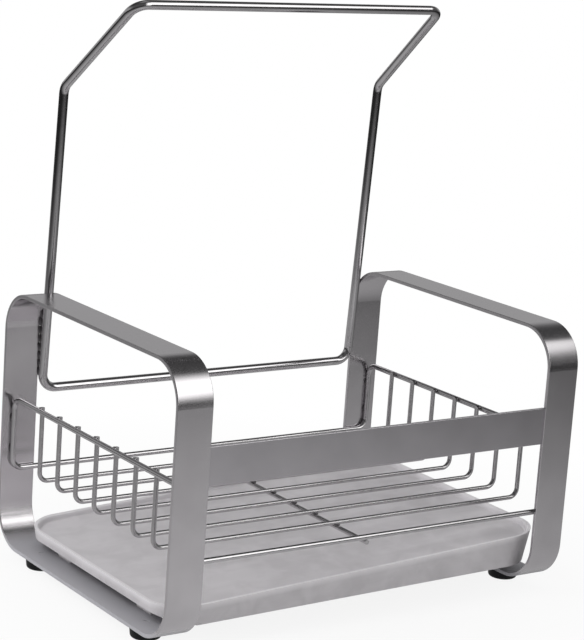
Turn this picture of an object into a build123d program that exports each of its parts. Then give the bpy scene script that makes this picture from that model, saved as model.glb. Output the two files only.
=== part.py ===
from build123d import *
import os

# Sink caddy: two bent flat-bar hoops, a flat front rail, a wire basket, a wire
# cloth hanger and a drip tray that slides out sideways. All lengths are in mm.
# X runs along the caddy, the front is towards -Y, and Z = 0 is the floor.

os.makedirs("parts", exist_ok=True)

# Flat bar of the hoops and the rail
bar_width = 20.0
bar_thickness = 2.0
bar_edge_round = 0.35
hoop_bend_outer = 22.0

# Overall size of the frame
frame_length = 250.0
frame_depth = 180.0
frame_height = 148.0

# Front rail
rail_bottom = 86.0
rail_height = 20.0
rail_setback = 1.0

# Rubber feet and the screws that hold them
foot_height = 6.0
foot_top_diameter = 17.0
foot_bottom_diameter = 15.6
foot_edge_round = 1.6
foot_from_hoop_end = 34.0
foot_bore_diameter = 6.4
foot_seat_thickness = 2.4
foot_hole_diameter = 3.2
screw_diameter = 3.0
screw_hole_diameter = 3.1
screw_head_diameter = 5.6
screw_head_height = 1.8
screw_end_below_run = 0.2
recess_length = 3.2
recess_width = 0.8
recess_depth = 0.9

# Cloth hanger
hanger_wire = 5.0
hanger_bottom = 91.0
hanger_kink_height = 257.0
hanger_top = 306.0
hanger_lean = 10.0
hanger_reach = 60.0
hanger_top_inset = 6.0
hanger_bend = 8.0

# Basket
rim_wire = 3.0
cross_wire_diameter = 2.5
slat_wire = 2.5
rim_from_outside = 6.0
rim_rail_height = 87.0
rim_bottom_height = 47.5
rim_bend = 6.0
slat_bend = 5.0
slat_count = 7
slat_pitch = 20.0
slat_tip_below_rail_top = 0.2
cross_wire_x = -5.0
cross_wire_past_rim = 0.6
weld_gap = 0.05

# Drip tray: its rim, floor and skirt all rise from the left end to the right
tray_left_gap = 5.0
tray_right_gap = 0.0
tray_leg_gap = 7.0
tray_lift = 0.05
tray_left_rim = 12.1
tray_right_rim = 25.0
tray_left_skirt = 1.6
tray_right_skirt = 6.4
tray_plan_corner = 24.0
tray_plan_height = 30.0
tray_draft = 10.0
tray_wall = 2.2
tray_dish_depth = 3.0
tray_floor_thickness = 2.0
tray_lip_round = 0.95
tray_cut_length = 22.0
tray_cut_lip = 5.0
tray_foot_length = 8.5
tray_foot_width = 14.0
tray_foot_past_run = 3.5
tray_foot_from_middle = 42.0
tray_rib_thickness = 1.6
tray_rib_drop = 4.0
tray_rib_count = 5
tray_rib_pitch = 40.0
tray_spare = 40.0

# Places worked out from the sizes above
half_length = frame_length / 2
half_depth = frame_depth / 2
half_width = bar_width / 2
leg_inner_y = half_depth - bar_thickness
inner_side_x = half_length - bar_width
run_top = foot_height + bar_thickness
hoop_x = half_length - half_width
hoop_mid_height = (frame_height + foot_height) / 2
hoop_tall = frame_height - foot_height
foot_y = half_depth - foot_from_hoop_end


def save(name, shape):
    shape.label = name
    export_step(shape, os.path.join("parts", name + ".step"))


def wire(points, bend, diameter, close=False):
    """A round wire bent round the given corners."""
    path = FilletPolyline(*points, radius=bend, close=close)
    start = path ^ 0
    return sweep(start * Circle(diameter / 2), path=path, transition=Transition.RIGHT)


def pole(diameter, height, x, y, z):
    """An upright cylinder standing on z."""
    return Pos(x, y, z) * Cylinder(diameter / 2, height, align=(Align.CENTER, Align.CENTER, Align.MIN))


# Hoops: flat bar bent into a closed rounded rectangle, with two tapped holes
def hoop(side):
    outline = RectangleRounded(frame_depth, hoop_tall, hoop_bend_outer)
    inside = RectangleRounded(
        frame_depth - 2 * bar_thickness,
        hoop_tall - 2 * bar_thickness,
        hoop_bend_outer - bar_thickness,
    )
    ring = extrude(Plane.YZ * (outline - inside), half_width, both=True)
    ring = fillet(ring.edges().filter_by_position(Axis.X, half_width, half_width), bar_edge_round)
    ring = fillet(ring.edges().filter_by_position(Axis.X, -half_width, -half_width), bar_edge_round)
    ring = Pos(side * hoop_x, 0, hoop_mid_height) * ring
    for y in (-foot_y, foot_y):
        ring -= pole(screw_hole_diameter, hoop_mid_height, side * hoop_x, y, 0)
    return ring


save("left_hoop", hoop(-1))
save("right_hoop", hoop(1))

# Front rail, butted between the inner edges of the two front legs
rail = Box(2 * inner_side_x, bar_thickness, rail_height)
rail = fillet(rail.edges().filter_by(Axis.X), bar_edge_round)
rail_y = -half_depth + rail_setback + bar_thickness / 2
save("front_rail", Pos(0, rail_y, rail_bottom + rail_height / 2) * rail)

# Cloth hanger: one closed loop of round wire, welded beside the two rear legs. It
# leans forward a little, then kinks forward towards a slightly narrower top bar
hanger_x = inner_side_x - hanger_wire / 2 - weld_gap
hanger_bottom_y = half_depth - hanger_wire / 2
hanger_kink_y = hanger_bottom_y - hanger_lean


def hanger():
    right_side = [
        (hanger_x, hanger_bottom_y, hanger_bottom),
        (hanger_x, hanger_kink_y, hanger_kink_height),
        (hanger_x - hanger_top_inset, hanger_kink_y - hanger_reach, hanger_top),
    ]
    left_side = [(-x, y, z) for x, y, z in reversed(right_side)]
    return wire(right_side + left_side, hanger_bend, hanger_wire, close=True)


save("cloth_hanger", hanger())

# Basket: one closed rim wire, slats across it and one wire beneath along its depth
rim_x = half_length - rim_from_outside
rim_y = leg_inner_y - rim_wire / 2 - weld_gap


def rim():
    corners = [(rim_x, rim_y), (rim_x, -rim_y), (-rim_x, -rim_y), (-rim_x, rim_y)]
    points = []
    for number, (x, y) in enumerate(corners):
        heights = [rim_bottom_height, rim_rail_height]
        if number % 2:
            heights.reverse()
        points += [(x, y, z) for z in heights]
    return wire(points, rim_bend, rim_wire, close=True)


save("basket_rim", rim())

slat_x = rim_x - rim_wire / 2 - slat_wire / 2 - weld_gap
slat_height = rim_bottom_height - rim_wire / 2 + slat_wire / 2
slat_tip = rim_rail_height + rim_wire / 2 - slat_tip_below_rail_top
for number in range(slat_count):
    y = (number - (slat_count - 1) / 2) * slat_pitch
    ends = [(-slat_x, y, slat_tip), (-slat_x, y, slat_height)]
    mirrored = [(-x, y, z) for x, y, z in reversed(ends)]
    save(f"basket_wire_{number + 1}", wire(ends + mirrored, slat_bend, slat_wire))

cross_z = rim_bottom_height - rim_wire / 2 - cross_wire_diameter / 2 - weld_gap
cross_length = 2 * (rim_y + cross_wire_past_rim)
cross_wire = Rot(90, 0, 0) * Cylinder(cross_wire_diameter / 2, cross_length)
save("basket_cross_wire", Pos(cross_wire_x, 0, cross_z) * cross_wire)


# Drip tray: a moulded plate with a low rim round its top and a skirt below, both
# lower at the left, where the skirt is cut up so that the tray pours over that end
tray_left_x = tray_left_gap - half_length
tray_right_x = half_length - tray_right_gap
tray_length = tray_right_x - tray_left_x
tray_depth = 2 * (leg_inner_y - tray_leg_gap)

def slope_plane(left_z, right_z, left_x=tray_left_x, right_x=tray_right_x):
    """A plane through two heights at two places along the tray, facing up."""
    middle = Vector((left_x + right_x) / 2, 0, (left_z + right_z) / 2)
    along = Vector(right_x - left_x, 0, right_z - left_z)
    return Plane(middle, x_dir=along, z_dir=along.cross(Vector(0, 1, 0)))

def level_below_rim(drop):
    return slope_plane(tray_left_rim - drop, tray_right_rim - drop)

def height_at(x, left_z, right_z):
    return left_z + (right_z - left_z) * (x - tray_left_x) / tray_length

def tray_block(inset):
    """The tray's plan, narrowing downwards with the mould's draft."""
    plan = RectangleRounded(
        tray_length - 2 * inset, tray_depth - 2 * inset, tray_plan_corner - inset
    )
    middle = Pos((tray_left_x + tray_right_x) / 2, 0, tray_plan_height)
    return extrude(middle * plan, -tray_plan_height - tray_spare, taper=tray_draft)

def under_floor(x, length, width, bottom=None):
    """A block below the floor: a foot up from bottom, or a rib hung from the floor."""
    into_floor = tray_dish_depth + tray_floor_thickness / 2
    top = height_at(x, tray_left_rim - into_floor, tray_right_rim - into_floor)
    if bottom is None:
        bottom = top - tray_floor_thickness / 2 - tray_rib_drop
    block = Box(length, width, top - bottom, align=(Align.CENTER, Align.CENTER, Align.MIN))
    return Pos(x, 0, bottom) * block

def tray():
    floor_under = tray_dish_depth + tray_floor_thickness
    cut_x = tray_left_x + tray_cut_length
    cut_z = height_at(cut_x, tray_left_skirt, tray_right_skirt)
    body = split(tray_block(0), bisect_by=level_below_rim(0), keep=Keep.BOTTOM)
    skirt_edge = slope_plane(tray_left_skirt, tray_right_skirt)
    body = split(body, bisect_by=skirt_edge, keep=Keep.TOP)
    pouring_end = slope_plane(tray_left_rim - tray_cut_lip, cut_z, right_x=cut_x)
    body = split(body, bisect_by=pouring_end, keep=Keep.TOP)
    inner = tray_block(tray_wall)
    body -= split(inner, bisect_by=level_below_rim(tray_dish_depth), keep=Keep.TOP)
    body -= split(inner, bisect_by=level_below_rim(floor_under), keep=Keep.BOTTOM)
    body = fillet(body.faces().sort_by(Axis.Z)[-1].edges(), tray_lip_round)
    for number in range(tray_rib_count):
        x = (number - (tray_rib_count - 1) / 2) * tray_rib_pitch
        body += under_floor(x, tray_rib_thickness, tray_depth) & tray_block(tray_wall / 2)
    foot_x = inner_side_x + tray_foot_past_run - tray_foot_length / 2
    for x in (-foot_x, foot_x):
        for y in (-tray_foot_from_middle, tray_foot_from_middle):
            body += Pos(0, y, 0) * under_floor(x, tray_foot_length, tray_foot_width, 0)
    return Pos(0, 0, run_top + tray_lift) * body

save("drip_tray", tray())

# Rubber feet, each held by a screw whose head sits up inside it
def foot(x, y):
    body = Cone(foot_bottom_diameter / 2, foot_top_diameter / 2, foot_height,
                align=(Align.CENTER, Align.CENTER, Align.MIN))
    body = fillet(body.edges().sort_by(Axis.Z)[0], foot_edge_round)
    body = Pos(x, y, 0) * body
    body -= pole(foot_bore_diameter, foot_height - foot_seat_thickness, x, y, 0)
    return body - pole(foot_hole_diameter, foot_height, x, y, 0)


def foot_screw(x, y):
    head_top = foot_height - foot_seat_thickness
    head_bottom = head_top - screw_head_height
    body = pole(screw_head_diameter, screw_head_height, x, y, head_bottom)
    body += pole(screw_diameter, run_top - screw_end_below_run - head_bottom, x, y, head_bottom)
    for turn in (0, 90):
        slot = Box(recess_length, recess_width, recess_depth,
                   align=(Align.CENTER, Align.CENTER, Align.MIN))
        body -= Pos(x, y, head_bottom) * Rot(0, 0, turn) * slot
    return body


for side, side_name in ((-1, "left"), (1, "right")):
    for end, end_name in ((-1, "front"), (1, "rear")):
        place = (side * hoop_x, end * foot_y)
        save(f"foot_{end_name}_{side_name}", foot(*place))
        save(f"foot_screw_{end_name}_{side_name}", foot_screw(*place))
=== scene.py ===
import math
import bmesh
import bpy
from mathutils import Matrix, Vector


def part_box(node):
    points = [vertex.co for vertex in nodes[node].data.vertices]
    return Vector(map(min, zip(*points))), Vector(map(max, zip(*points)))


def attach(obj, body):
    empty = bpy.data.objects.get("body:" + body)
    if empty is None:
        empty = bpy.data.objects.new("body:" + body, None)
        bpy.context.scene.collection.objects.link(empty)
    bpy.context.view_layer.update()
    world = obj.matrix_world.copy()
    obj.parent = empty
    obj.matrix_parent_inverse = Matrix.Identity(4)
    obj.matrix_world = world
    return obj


# Sink caddy on a white studio floor. Metres, +X along the caddy, front towards -Y.
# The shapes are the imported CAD; this script gives them finishes, the weld beads
# that hold the wires and the rail, the floor, the lamps, the cards that the metal
# mirrors, and the camera.

MM = 0.001
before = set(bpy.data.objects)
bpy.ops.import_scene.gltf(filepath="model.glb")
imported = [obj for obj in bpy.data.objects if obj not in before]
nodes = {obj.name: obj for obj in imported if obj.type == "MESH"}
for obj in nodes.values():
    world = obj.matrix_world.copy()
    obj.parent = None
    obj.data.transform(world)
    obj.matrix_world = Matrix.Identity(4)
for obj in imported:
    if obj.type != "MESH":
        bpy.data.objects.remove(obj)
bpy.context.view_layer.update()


# Small helpers

def linear(hex_colour):
    """An sRGB hex colour as linear values."""
    parts = [int(hex_colour[i:i + 2], 16) / 255 for i in (1, 3, 5)]
    parts = [c / 12.92 if c <= 0.04045 else ((c + 0.055) / 1.055) ** 2.4 for c in parts]
    return (*parts, 1.0)


def add(tree, kind, values=None):
    """Adds one node. Each value sets a property or a socket, or is another node's output
    that feeds the socket."""
    node = tree.nodes.new(kind)
    for name, value in (values or {}).items():
        if isinstance(value, bpy.types.NodeSocket):
            tree.links.new(value, node.inputs[name])
        elif isinstance(name, str) and hasattr(node, name):
            setattr(node, name, value)
        else:
            node.inputs[name].default_value = value
    return node


def new_tree(name):
    material = bpy.data.materials.new(name)
    material.use_nodes = True
    material.node_tree.nodes.clear()
    return material, material.node_tree


def surface(tree, shader):
    add(tree, "ShaderNodeOutputMaterial", {"Surface": shader.outputs[0]})


def position(tree):
    return add(tree, "ShaderNodeTexCoord").outputs["Object"]


def split(tree, place):
    apart = add(tree, "ShaderNodeSeparateXYZ", {"Vector": place})
    return [apart.outputs[axis] for axis in "XYZ"]


def maths(tree, operation, *values):
    """One step of arithmetic; each value is a number or another node's output."""
    numbered = dict(enumerate(values))
    return add(tree, "ShaderNodeMath", {"operation": operation, **numbered}).outputs[0]


def blend(tree, share, first, second):
    """One colour turning into another as the share goes from 0 to 1."""
    return add(tree, "ShaderNodeMix", {"data_type": "RGBA", "Factor": share,
                                       "A": first, "B": second}).outputs["Result"]


def ramp(tree, source, span, ends):
    """Turns a span of one value into the values between two ends."""
    return add(tree, "ShaderNodeMapRange",
               {"Value": source, "From Min": span[0], "From Max": span[1],
                "To Min": ends[0], "To Max": ends[1]}).outputs[0]


def noise(tree, size_mm, detail, distortion=0.0):
    """A cloudy pattern with patches of about this size."""
    return add(tree, "ShaderNodeTexNoise",
               {"Scale": 1 / (size_mm * MM), "Detail": detail, "Distortion": distortion,
                "Vector": position(tree)}).outputs[0]


def bump(tree, pattern, strength, depth_mm):
    return add(tree, "ShaderNodeBump", {"Strength": strength, "Distance": depth_mm * MM,
                                        "Height": pattern}).outputs[0]


# Noise gathers round 0.5: these spans of it hold most of it, and nearly all
MOST, NEARLY_ALL = (0.35, 0.65), (0.3, 0.7)
FULL = (0.0, 1.0)


# Materials

def satin_strip(name, plain, bright, scuffed_below_mm):
    """Stainless strip with a fine satin roll finish: no lines to be seen, soft wide bands
    of light and dark round the bends. Low down, where the tray is pushed in and out and
    water stands, it is scuffed and duller. The turned screws look the same."""
    fade_mm = 5
    satin_roughness, scuff_roughness, scuffed_metallic = (0.20, 0.23), 0.32, 0.2
    material, tree = new_tree(name)
    cloudy = noise(tree, size_mm=22, detail=3.0)
    # Real satin grit is near 0.05 mm: drawn coarser, or it wouldn't show
    grit = noise(tree, size_mm=0.7, detail=2.0)
    height = split(tree, position(tree))[2]
    scuff_span = ((scuffed_below_mm + fade_mm) * MM, scuffed_below_mm * MM)
    scuffed = ramp(tree, height, scuff_span, FULL)
    tone = blend(tree, ramp(tree, cloudy, MOST, FULL), linear(plain), linear(bright))
    worn = blend(tree, scuffed, tone, linear("#AFAEB3"))
    rough = maths(tree, "ADD", ramp(tree, cloudy, MOST, satin_roughness),
                  ramp(tree, scuffed, FULL, (0.0, scuff_roughness)))
    shader = add(tree, "ShaderNodeBsdfPrincipled",
                 {"Base Color": worn, "Roughness": rough,
                  "Metallic": ramp(tree, scuffed, FULL, (1.0, scuffed_metallic)),
                  "Normal": bump(tree, grit, strength=0.05, depth_mm=0.02)})
    surface(tree, shader)
    return material


def polished_wire(name, tint, bright, roughness):
    """Drawn and tumbled stainless wire: near mirror, with faint drawing marks that
    dull the reflection a little here and there."""
    dulled = 0.02
    material, tree = new_tree(name)
    marks = noise(tree, size_mm=4, detail=3.0)
    tone = blend(tree, ramp(tree, marks, MOST, FULL), linear(tint), linear(bright))
    shader = add(tree, "ShaderNodeBsdfPrincipled",
                 {"Metallic": 1.0, "Base Color": tone,
                  "Roughness": ramp(tree, marks, NEARLY_ALL, (roughness, roughness + dulled))})
    surface(tree, shader)
    return material


def moulded_polypropylene():
    """Semi-matt moulded plastic, light grey: soft broad sheen, faint flow streaks along the
    tray, dried water marks, and a painted highlight: a paler band just below the rim."""
    material, tree = new_tree("moulded_polypropylene")
    grain = noise(tree, size_mm=0.8, detail=2.0)
    cloudy = noise(tree, size_mm=40, detail=2.0)
    water = noise(tree, size_mm=15, detail=3.0, distortion=0.6)
    streak_mm, streak_length_mm = 5.0, 50.0
    per_streak, per_length = 1 / (streak_mm * MM), 1 / (streak_length_mm * MM)
    drawn = add(tree, "ShaderNodeMapping",
                {"Scale": (per_length, per_streak, per_streak), "Vector": position(tree)})
    flow = add(tree, "ShaderNodeTexNoise", {"Scale": 1.0, "Detail": 3.0, "Roughness": 0.6,
                                            "Vector": drawn.outputs[0]}).outputs[0]
    water_span, water_share, flow_share = (0.38, 0.62), 0.75, 0.25
    marked = maths(tree, "ADD", ramp(tree, water, water_span, (0.0, water_share)),
                   ramp(tree, flow, MOST, (0.0, flow_share)))
    tone = blend(tree, marked, linear("#B7B4B7"), linear("#C6C3C6"))
    # The rim climbs from the low end on the left to the high end on the right
    low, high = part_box("drip_tray")
    left_rim_mm = 12.1    # above the tray's feet, as the CAD has it
    left_rim, right_rim = low[2] + left_rim_mm * MM, high[2]
    climb = (right_rim - left_rim) / (high[0] - low[0])
    x, _, z = split(tree, position(tree))
    rim = maths(tree, "MULTIPLY_ADD", x, climb, left_rim - climb * low[0])
    below_rim = maths(tree, "SUBTRACT", rim, z)
    # Painted highlight: a paler band just below the rim stands in for the light on its rounded
    # lip
    highlight_span, highlight_share = (0.6 * MM, 3.6 * MM), 0.8
    rim_highlight_painted = blend(tree, ramp(tree, below_rim, highlight_span, (highlight_share, 0.0)), tone,
                   linear("#DEDBDE"))
    shader = add(tree, "ShaderNodeBsdfPrincipled",
                 {"Metallic": 0.0, "IOR": 1.49, "Base Color": rim_highlight_painted,
                  "Normal": bump(tree, grain, strength=0.15, depth_mm=0.03),
                  "Roughness": ramp(tree, cloudy, NEARLY_ALL, (0.44, 0.50))})
    surface(tree, shader)
    return material


def moulded_rubber():
    """Black nitrile rubber, matt: deep black with only a faint sheen on the rounded edge."""
    material, tree = new_tree("moulded_rubber")
    grain = noise(tree, size_mm=0.6, detail=2.0)
    tone = blend(tree, ramp(tree, grain, NEARLY_ALL, FULL), linear("#0D0E10"), linear("#131517"))
    shader = add(tree, "ShaderNodeBsdfPrincipled",
                 {"IOR": 1.52, "Roughness": 0.5, "Specular IOR Level": 0.2, "Base Color": tone,
                  "Normal": bump(tree, grain, strength=0.2, depth_mm=0.04)})
    surface(tree, shader)
    return material


def weld_metal(name, dark, light):
    """Weld metal left as it froze: duller than the wire, slightly rippled."""
    material, tree = new_tree(name)
    ripple = noise(tree, size_mm=0.7, detail=2.0)
    tone = blend(tree, ramp(tree, ripple, MOST, FULL), linear(dark), linear(light))
    shader = add(tree, "ShaderNodeBsdfPrincipled",
                 {"Metallic": 1.0, "Roughness": 0.36, "Base Color": tone,
                  "Normal": bump(tree, ripple, strength=0.4, depth_mm=0.15)})
    surface(tree, shader)
    return material


SCUFF_LINE_MM = 8.5    # just above the hoops' bottom runs, on which the tray stands
hoop_steel = satin_strip("satin_stainless_hoops", "#C8C5C8", "#CFCCCF", SCUFF_LINE_MM)
# Painted shade: the rail's tint is darker than the hoops', so its front face reads darker
rail_steel_painted_shade = satin_strip("satin_stainless_rail_painted_shade", "#BFBCC0", "#C6C3C7", scuffed_below_mm=0)
hanger_steel = polished_wire("polished_stainless_hanger", "#C6C4C6", "#CCCACC", roughness=0.11)
basket_steel = polished_wire("polished_stainless_basket", "#C0BEC0", "#C8C6C8", roughness=0.17)
# Painted shade: the slats' tint is darker than the rim wire's, so they read darker over the tray;
# they are also rougher
slat_steel_painted_shade = polished_wire("tumbled_stainless_slats_painted_shade", "#B9B7B9", "#C1BFC1", roughness=0.23)
screw_steel = satin_strip("turned_stainless_screws", "#C8C5C8", "#CFCCCF", SCUFF_LINE_MM)
tray_plastic = moulded_polypropylene()
foot_rubber = moulded_rubber()
dark_weld = weld_metal("weld_metal", "#5A5756", "#858387")
tumbled_weld = weld_metal("tumbled_weld_metal", "#A9A7AA", "#BEBCBF")


def dress(names, material):
    for name in names:
        for place in nodes[name].material_slots:
            place.material = material


slats = [f"basket_wire_{number}" for number in range(1, 8)]
dress(["left_hoop", "right_hoop"], hoop_steel)
dress(["front_rail"], rail_steel_painted_shade)
dress(["cloth_hanger"], hanger_steel)
dress(["basket_rim", "basket_cross_wire"], basket_steel)
dress(slats, slat_steel_painted_shade)
dress(["drip_tray"], tray_plastic)
dress([name for name in nodes if name.startswith("foot_screw")], screw_steel)
dress([name for name in nodes if name.startswith("foot_") and "screw" not in name], foot_rubber)


# Weld beads. Their sizes are in millimetres, along X, Y and Z

def bead(mesh, centre, size_mm):
    """A small lump of weld metal, flattened and slightly uneven."""
    unevenness, vertex_phase, bead_phase = 0.05, 7.1, 900
    size = [length * MM for length in size_mm]
    made = bmesh.ops.create_icosphere(mesh, subdivisions=2, radius=1.0)["verts"]
    for number, vertex in enumerate(made):
        uneven = 1 + unevenness * math.sin(vertex_phase * number + centre[1] * bead_phase)
        place = Vector([c * s / 2 * uneven for c, s in zip(vertex.co, size)])
        vertex.co = place + Vector(centre)


def weld_piece(name, fill, metal):
    mesh = bmesh.new()
    fill(mesh)
    for face in mesh.faces:
        face.smooth = True
    data = bpy.data.meshes.new(name)
    mesh.to_mesh(data)
    mesh.free()
    data.materials.append(metal)
    piece = bpy.data.objects.new(name, data)
    bpy.context.scene.collection.objects.link(piece)
    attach(piece, "frame")


def middle(name):
    low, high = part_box(name)
    return [(a + b) / 2 for a, b in zip(low, high)]


rim_low, rim_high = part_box("basket_rim")
rim_wire = 3.0 * MM
cross_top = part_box("basket_cross_wire")[1][2]
cross_x = middle("basket_cross_wire")[0]
rail_low, rail_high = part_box("front_rail")
hoop_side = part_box("left_hoop")[1][0]


def tip_welds(mesh, side, size_mm):
    """Resistance welds of every wire's tip to one of the high rails."""
    inward, below_top = rim_wire + 0.1 * MM, 0.9 * MM
    for name in slats:
        bead(mesh, (side * (rim_high[0] - inward), middle(name)[1], rim_high[2] - below_top),
             size_mm)


def left_tips(mesh):
    tip_welds(mesh, -1, (2.8, 2.9, 2.2))


def basket_welds(mesh):
    """The tips at the right, and every wire and the rim's rear wire to the cross wire."""
    tip_welds(mesh, 1, (3.0, 3.3, 2.6))
    z = cross_top + 0.2 * MM
    for name in slats:
        bead(mesh, (cross_x, middle(name)[1], z), (3.6, 3.6, 1.7))
    bead(mesh, (cross_x, rim_high[1] - rim_wire / 2, z), (3.4, 2.6, 1.2))


def rim_tacks(mesh):
    """Short tacks where the rim's upright corners touch the hoops' legs."""
    heights_mm, inset = (59.0, 76.0), 0.5 * MM
    for x in (rim_low[0] + rim_wire / 2, rim_high[0] - rim_wire / 2):
        for side in (-1, 1):
            for height_mm in heights_mm:
                bead(mesh, (x, side * (rim_high[1] - inset), height_mm * MM), (3.4, 1.6, 7.0))


def hanger_tacks(mesh):
    """A weld up each side, filling the gap that widens as the hanger leans from the leg."""
    beads, lowest_mm, highest_mm = 8, 101.0, 133.0
    # Along Y: the rear legs' front, and the wire's middle at the lowest and the highest bead
    leg_face_mm, wire_low_mm, wire_high_mm = 88.0, 86.9, 85.0
    inward, backward_mm, overlap_mm = 0.4 * MM, 0.5, 1.3
    for side in (-1, 1):
        for number in range(beads):
            share = number / (beads - 1)
            wire_mm = wire_low_mm + share * (wire_high_mm - wire_low_mm)
            place = (side * (-hoop_side - inward), (wire_mm + leg_face_mm + backward_mm) / 2 * MM,
                     (lowest_mm + share * (highest_mm - lowest_mm)) * MM)
            bead(mesh, place, (1.9, leg_face_mm - wire_mm + overlap_mm, 6.4))


def rail_welds(mesh):
    """A row of small beads up each end of the rail, set just behind its face."""
    beads, inset, forward = 13, 0.9 * MM, 0.1 * MM
    tall = rail_high[2] - rail_low[2] - 2 * inset
    for x in (rail_low[0], rail_high[0]):
        for number in range(beads):
            z = rail_low[2] + inset + (number + 0.5) / beads * tall
            bead(mesh, (x, rail_high[1] - forward, z), (2.0, 1.5, 2.2))


weld_piece("basket_left_welds", left_tips, tumbled_weld)
weld_piece("basket_spot_welds", basket_welds, dark_weld)
weld_piece("rim_tack_welds", rim_tacks, dark_weld)
weld_piece("rail_weld_beads", rail_welds, dark_weld)
weld_piece("hanger_tack_welds", hanger_tacks, dark_weld)


# Floor and room

def plane(name, width, depth, place):
    data = bpy.data.meshes.new(name)
    w, d = width / 2, depth / 2
    data.from_pydata([(-w, -d, 0), (w, -d, 0), (w, d, 0), (-w, d, 0)], [], [(0, 1, 2, 3)])
    made = bpy.data.objects.new(name, data)
    bpy.context.scene.collection.objects.link(made)
    made.location = place
    return made


def seen_as_white(tree):
    """1 for rays that should find the white studio: camera, mirror and glass rays."""
    path = add(tree, "ShaderNodeLightPath")
    seen = maths(tree, "MAXIMUM", path.outputs["Is Camera Ray"], path.outputs["Is Glossy Ray"])
    return maths(tree, "MAXIMUM", seen, path.outputs["Is Transmission Ray"])


def white_paper():
    """Seamless white paper: mostly a plain white, with part of the shadow kept near the part."""
    shadow_span, whiteness = (0.10, 0.34), (0.88, 1.0)
    material, tree = new_tree("white_paper")
    diffuse = add(tree, "ShaderNodeBsdfDiffuse", {"Color": linear("#DCDCDC")})
    glow = add(tree, "ShaderNodeEmission", {"Color": (1, 1, 1, 1), "Strength": 1.0})
    reach = add(tree, "ShaderNodeVectorMath", {"operation": "LENGTH", 0: position(tree)})
    share = maths(tree, "MULTIPLY", seen_as_white(tree),
                  ramp(tree, reach.outputs["Value"], shadow_span, whiteness))
    mixed = add(tree, "ShaderNodeMixShader",
                {0: share, 1: diffuse.outputs[0], 2: glow.outputs[0]})
    surface(tree, mixed)
    return material


floor = plane("studio_floor", width=12, depth=12, place=(0, 0, 0))
floor.data.materials.append(white_paper())

# The world lights the part more dimly than it looks, so that the lamps still shape it
room_light = 0.54
world = bpy.data.worlds.new("white_studio")
bpy.context.scene.world = world
world.use_nodes = True
sky = world.node_tree
sky.nodes.clear()
lit = add(sky, "ShaderNodeBackground", {"Color": (1, 1, 1, 1), "Strength": room_light})
white = add(sky, "ShaderNodeBackground", {"Color": (1, 1, 1, 1), "Strength": 1.0})
chosen = add(sky, "ShaderNodeMixShader",
             {0: seen_as_white(sky), 1: lit.outputs[0], 2: white.outputs[0]})
add(sky, "ShaderNodeOutputWorld", {"Surface": chosen.outputs[0]})


# Lamps, and the cards that the metal mirrors

def softbox(name, place, width, height, power, aim=(0, 0, 0.1)):
    """A rectangular lamp for the light itself; the metal mirrors the tent's panel instead."""
    lamp = bpy.data.lights.new(name, "AREA")
    lamp.shape = "RECTANGLE"
    lamp.size, lamp.size_y, lamp.energy = width, height, power
    made = bpy.data.objects.new(name, lamp)
    bpy.context.scene.collection.objects.link(made)
    made.location = place
    made.rotation_euler = (Vector(aim) - Vector(place)).to_track_quat("-Z", "Y").to_euler()
    made.visible_glossy = False


def mirrored_only(made):
    """Cards that the metal mirrors and the camera doesn't see, as a photographer sets them."""
    made.visible_camera = False
    made.visible_diffuse = False
    made.visible_shadow = False
    made.visible_transmission = False
    return made


def shades(tree, value, stops):
    """A smooth run of greys along one value, from its stop at 0 to its stop at 1."""
    made = add(tree, "ShaderNodeValToRGB", {0: value})
    band = made.color_ramp.elements
    for place_at, _ in stops[1:-1]:
        band.new(place_at)
    for stop, (place_at, grey) in zip(band, stops):
        stop.position, stop.color = place_at, (grey, grey, grey, 1)
    return made.outputs[0]


def glowing(tree, colour):
    surface(tree, add(tree, "ShaderNodeEmission", {"Strength": 1.0, "Color": colour}))


def grey_table():
    """A grey card on the floor, palest just in front of the caddy, dark a metre off in front
    and further off behind."""
    half, farthest, shortened_behind = 4.0, 1.2, 0.3
    made = mirrored_only(plane("grey_table", 2 * half, 2 * half, (-0.08, -0.22, 0.4 * MM)))
    material, tree = new_tree("grey_table_card")
    x, y, _ = split(tree, position(tree))
    in_front = ramp(tree, y, (-half, 0.0), (-half, 0.0))
    behind = ramp(tree, y, (0.0, half), (0.0, half * shortened_behind))
    depth = maths(tree, "ADD", in_front, behind)
    flat = add(tree, "ShaderNodeCombineXYZ", {"X": x, "Y": depth})
    reach = add(tree, "ShaderNodeVectorMath", {"operation": "LENGTH", 0: flat.outputs[0]})
    glowing(tree, shades(tree, ramp(tree, reach.outputs["Value"], (0.0, farthest), FULL),
                         ((0.0, 0.60), (0.08, 0.52), (0.24, 0.42), (0.34, 0.29), (0.46, 0.20),
                          (0.63, 0.10), (0.79, 0.03), (1.0, 0.02))))
    made.data.materials.append(material)


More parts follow.
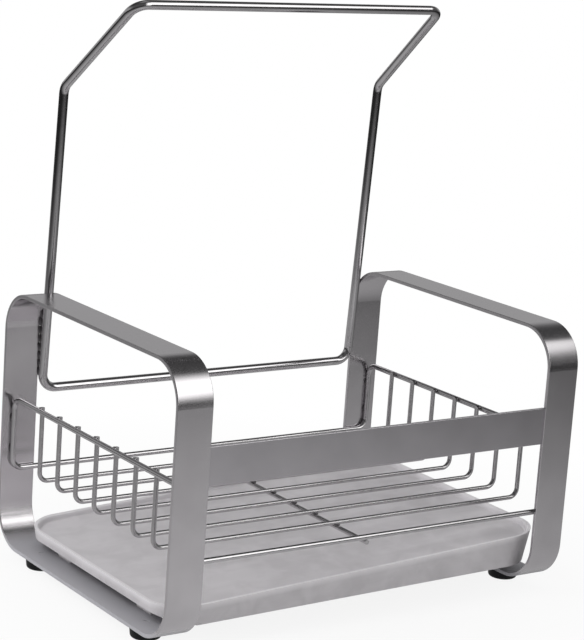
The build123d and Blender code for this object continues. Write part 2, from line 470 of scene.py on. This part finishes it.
def grey_tent():
    """A grey dome over the set. Round the foot of it the metal finds dark, behind the caddy
    a paler stretch, dark higher up, a small grey patch right overhead, and one soft-edged
    bright panel high in front."""
    radius = 3
    mesh = bmesh.new()
    bmesh.ops.create_uvsphere(mesh, u_segments=48, v_segments=24, radius=1.0)
    low = [vertex for vertex in mesh.verts if vertex.co.z < -0.01]
    bmesh.ops.delete(mesh, geom=low, context="VERTS")
    data = bpy.data.meshes.new("grey_tent")
    mesh.to_mesh(data)
    mesh.free()
    made = bpy.data.objects.new("grey_tent", data)
    made.scale = (radius, radius, radius)
    bpy.context.scene.collection.objects.link(made)
    mirrored_only(made)
    material, tree = new_tree("grey_tent_cloth")
    # On the dome x and y run from -1 to 1 and z from 0 to 1, whatever its radius
    x, y, z = split(tree, position(tree))
    front = shades(tree, z, ((0.0, 0.03), (0.10, 0.08), (0.60, 0.12), (0.80, 0.08),
                             (0.93, 0.09), (1.0, 0.36)))
    behind = shades(tree, z, ((0.0, 0.03), (0.06, 0.06), (0.16, 0.46), (0.40, 0.42),
                              (0.54, 0.20), (0.68, 0.05), (0.93, 0.07), (1.0, 0.36)))
    around = blend(tree, ramp(tree, y, (-0.2, 0.3), FULL), front, behind)
    slope, offset = -1.6, 0.82
    slanted = maths(tree, "ADD", z, maths(tree, "MULTIPLY_ADD", x, slope, offset))
    left_edge = ramp(tree, x, (-0.05, 0.20), (0.0, 1.0))
    right_edge = ramp(tree, x, (0.56, 0.78), (1.0, 0.0))
    lower_edge = ramp(tree, slanted, (0.20, 0.38), (0.0, 1.0))
    upper_edge = ramp(tree, z, (0.70, 0.86), (1.0, 0.0))
    rear_edge = ramp(tree, y, (-0.30, -0.20), (1.0, 0.0))
    panel = left_edge
    for edge in (right_edge, lower_edge, upper_edge, rear_edge):
        panel = maths(tree, "MULTIPLY", panel, edge)
    panel_light = (2.2, 2.2, 2.17, 1)
    glowing(tree, blend(tree, panel, around, panel_light))
    made.data.materials.append(material)


softbox("front_softbox", (0.35, -1.35, 0.75), width=0.95, height=0.75, power=3.2)
softbox("left_softbox", (-0.75, 0.10, 0.80), width=0.5, height=0.5, power=4.5)
softbox("low_left_softbox", (-1.7, 0.0, 0.12), width=1.0, height=0.26, power=5.2,
        aim=(-0.12, -0.02, 0.012))
softbox("top_light", (0.0, 0.3, 1.7), width=0.9, height=0.9, power=4.0)
grey_table()
grey_tent()


# The camera stands front left of the caddy, a little above it

azimuth, elevation, roll = math.radians(-34.9015), math.radians(12.3630), math.radians(4.0070)
distance, across_m, up_m = 1.176696, 0.0091743, 0.1380039
sensor_mm, focal_pixels, picture_pixels = 36.0, 2143.900, 640
back = Vector((math.sin(azimuth) * math.cos(elevation),
               -math.cos(azimuth) * math.cos(elevation), math.sin(elevation)))
level = Vector((math.cos(azimuth), math.sin(azimuth), 0))
above = back.cross(level)
right = math.cos(roll) * level + math.sin(roll) * above
up = -math.sin(roll) * level + math.cos(roll) * above
camera_data = bpy.data.cameras.new("camera")
camera_data.sensor_width = sensor_mm
camera_data.lens = sensor_mm * focal_pixels / picture_pixels
camera = bpy.data.objects.new("camera", camera_data)
bpy.context.scene.collection.objects.link(camera)
where = back * distance + right * across_m + up * up_m
turned = Matrix((right, up, back)).transposed().to_4x4()
camera.matrix_world = Matrix.Translation(where) @ turned
bpy.context.scene.camera = camera
bpy.context.scene.view_settings.view_transform = "Standard"
